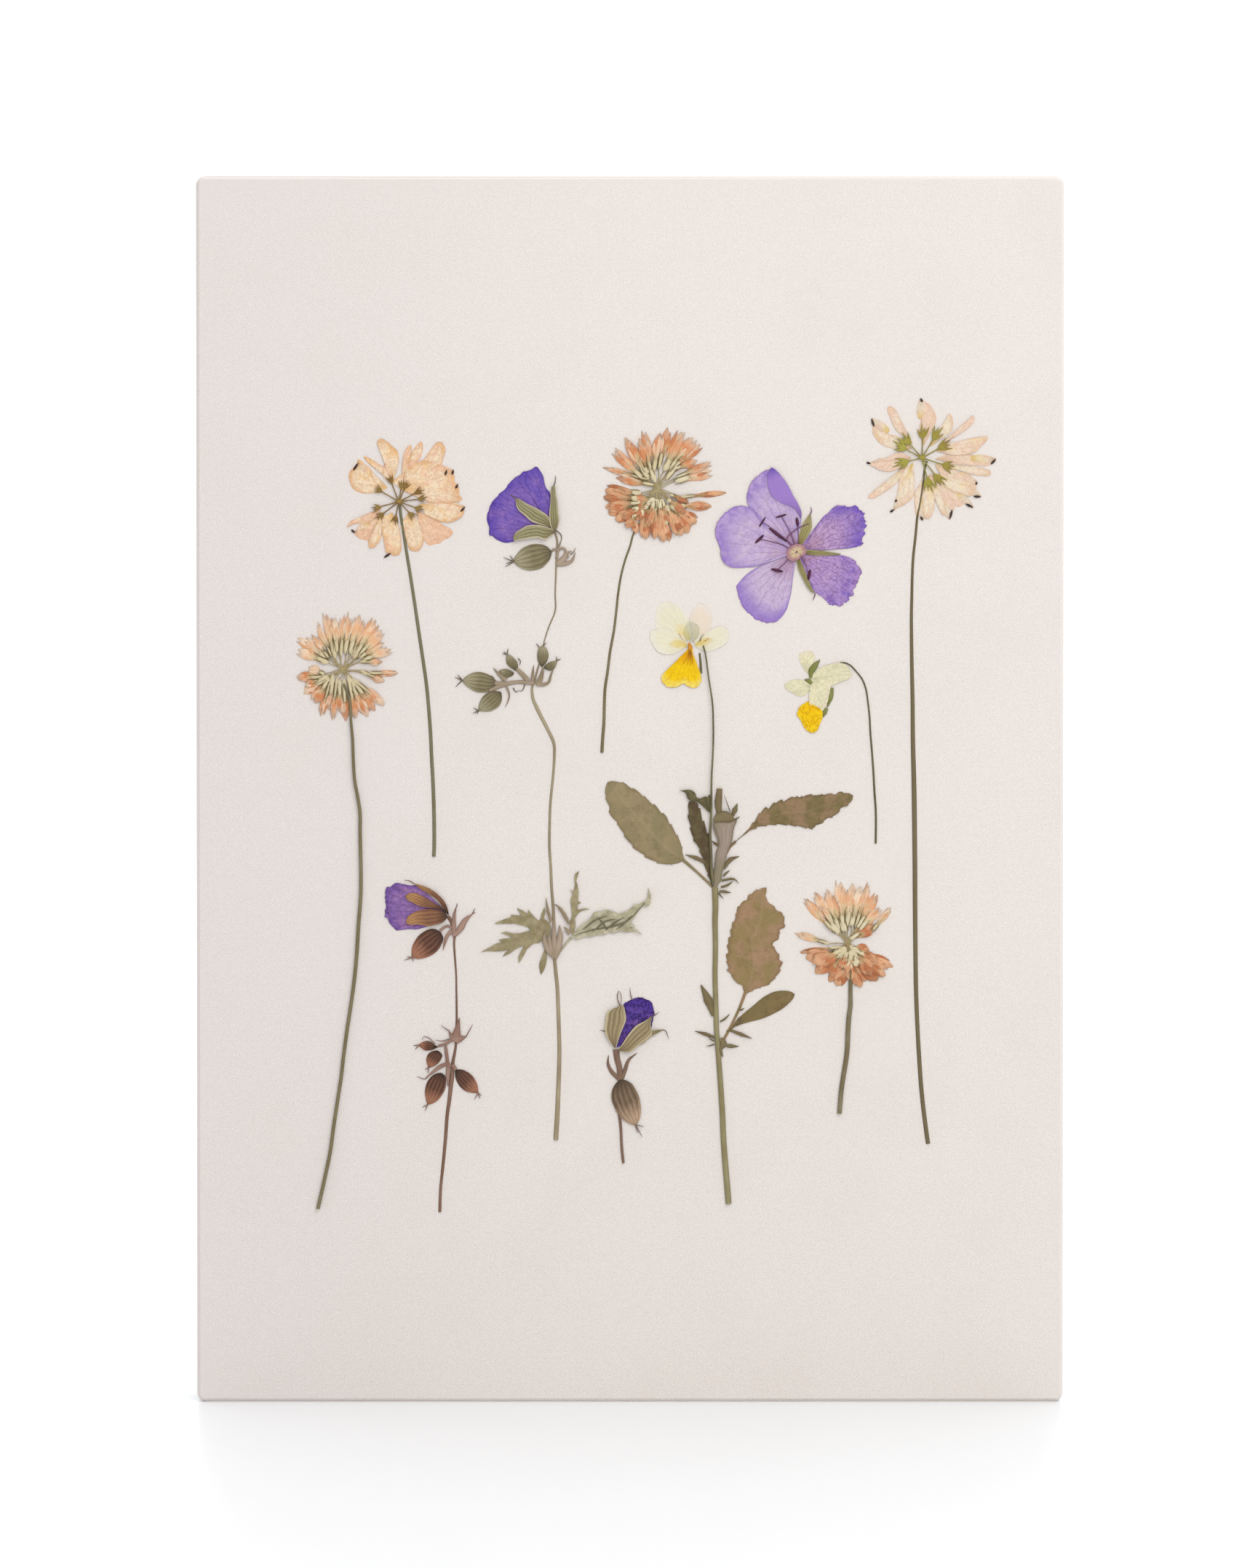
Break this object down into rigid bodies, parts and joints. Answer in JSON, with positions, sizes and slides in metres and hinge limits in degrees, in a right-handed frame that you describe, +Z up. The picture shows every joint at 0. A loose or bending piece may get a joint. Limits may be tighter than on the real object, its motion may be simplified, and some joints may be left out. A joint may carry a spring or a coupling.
{
  "type": "pressed flower frame",
  "caption": "Upright rectangular canvas-wrapped stretcher board with pressed wild flowers, leaves and long stems fixed flat to its front.",
  "frame": {"origin": "middle of the bottom edge face that the board stands on, midway between its front and its back", "axes": "+Z up along the height of the board, +X to the viewer's right, the flowers face -Y"},
  "size_m": [0.21, 0.0198, 0.297],
  "materials": {
    "canvas": "matt primed ivory canvas",
    "pine": "bare planed pine",
    "green_stem": "matt dried olive stem",
    "brown_stem": "matt dried brown stem",
    "olive": "matt dried olive sepal",
    "pod_brown": "matt dried brown pod",
    "leaf_olive": "matt dried olive leaf",
    "leaf_brown": "matt dried brown leaf",
    "peach": "thin dried peach petal",
    "pale_peach": "thin dried pale peach petal",
    "terracotta": "thin dried orange floret",
    "violet": "thin dried violet petal",
    "lavender": "thin dried lavender petal",
    "cream": "thin dried cream petal",
    "yellow": "thin dried yellow petal"
  },
  "bodies": {
    "root": {"canvas_wrap": "canvas", "stretcher_bar_top": "pine", "stretcher_bar_bottom": "pine", "stretcher_bar_left": "pine", "stretcher_bar_right": "pine", "vetch_left_head": "peach", "vetch_left_stem": "green_stem", "vetch_right_head": "pale_peach", "vetch_right_stem": "green_stem", "clover_top_head": "terracotta", "clover_top_stem": "green_stem", "clover_left_head": "terracotta", "clover_left_stem": "green_stem", "clover_right_head": "terracotta", "clover_right_stem": "green_stem", "open_flower_petal_top": "lavender", "open_flower_petal_left": "lavender", "open_flower_petal_lower_left": "lavender", "open_flower_petal_lower_right": "lavender", "open_flower_petal_upper_right": "lavender", "open_flower_sepal_upper": "olive", "open_flower_sepal_right": "olive", "open_flower_sepal_lower": "olive", "open_flower_stamens": "pod_brown", "tall_cranesbill_stem_and_buds": "green_stem", "tall_cranesbill_petals": "violet", "tall_cranesbill_sepals": "olive", "tall_cranesbill_pod": "olive", "tall_cranesbill_leaf_left": "leaf_olive", "tall_cranesbill_leaf_up": "leaf_olive", "tall_cranesbill_leaf_right": "leaf_olive", "tall_cranesbill_leaf_sheath": "brown_stem", "low_cranesbill_stem_and_buds": "brown_stem", "low_cranesbill_petals": "violet", "low_cranesbill_sepals": "pod_brown", "low_cranesbill_pod": "pod_brown", "small_cranesbill_stem": "brown_stem", "small_cranesbill_petals": "violet", "small_cranesbill_sepals": "olive", "small_cranesbill_pod": "pod_brown", "tall_viola_petals": "cream", "tall_viola_petal_yellow": "yellow", "tall_viola_spur": "olive", "tall_viola_stem": "green_stem", "tall_viola_flower_stalk": "brown_stem", "tall_viola_dropped_stalk": "green_stem", "tall_viola_leaf_big": "leaf_olive", "tall_viola_leaf_torn": "leaf_brown", "tall_viola_leaf_low": "leaf_brown", "tall_viola_leaf_dark": "leaf_brown", "tall_viola_leaf_curled": "leaf_olive", "tall_viola_shoot": "green_stem", "tall_viola_leaf_long": "leaf_olive", "nodding_viola_petals": "cream", "nodding_viola_petal_yellow": "yellow", "nodding_viola_stalk": "brown_stem"}
  },
  "joints": []
}
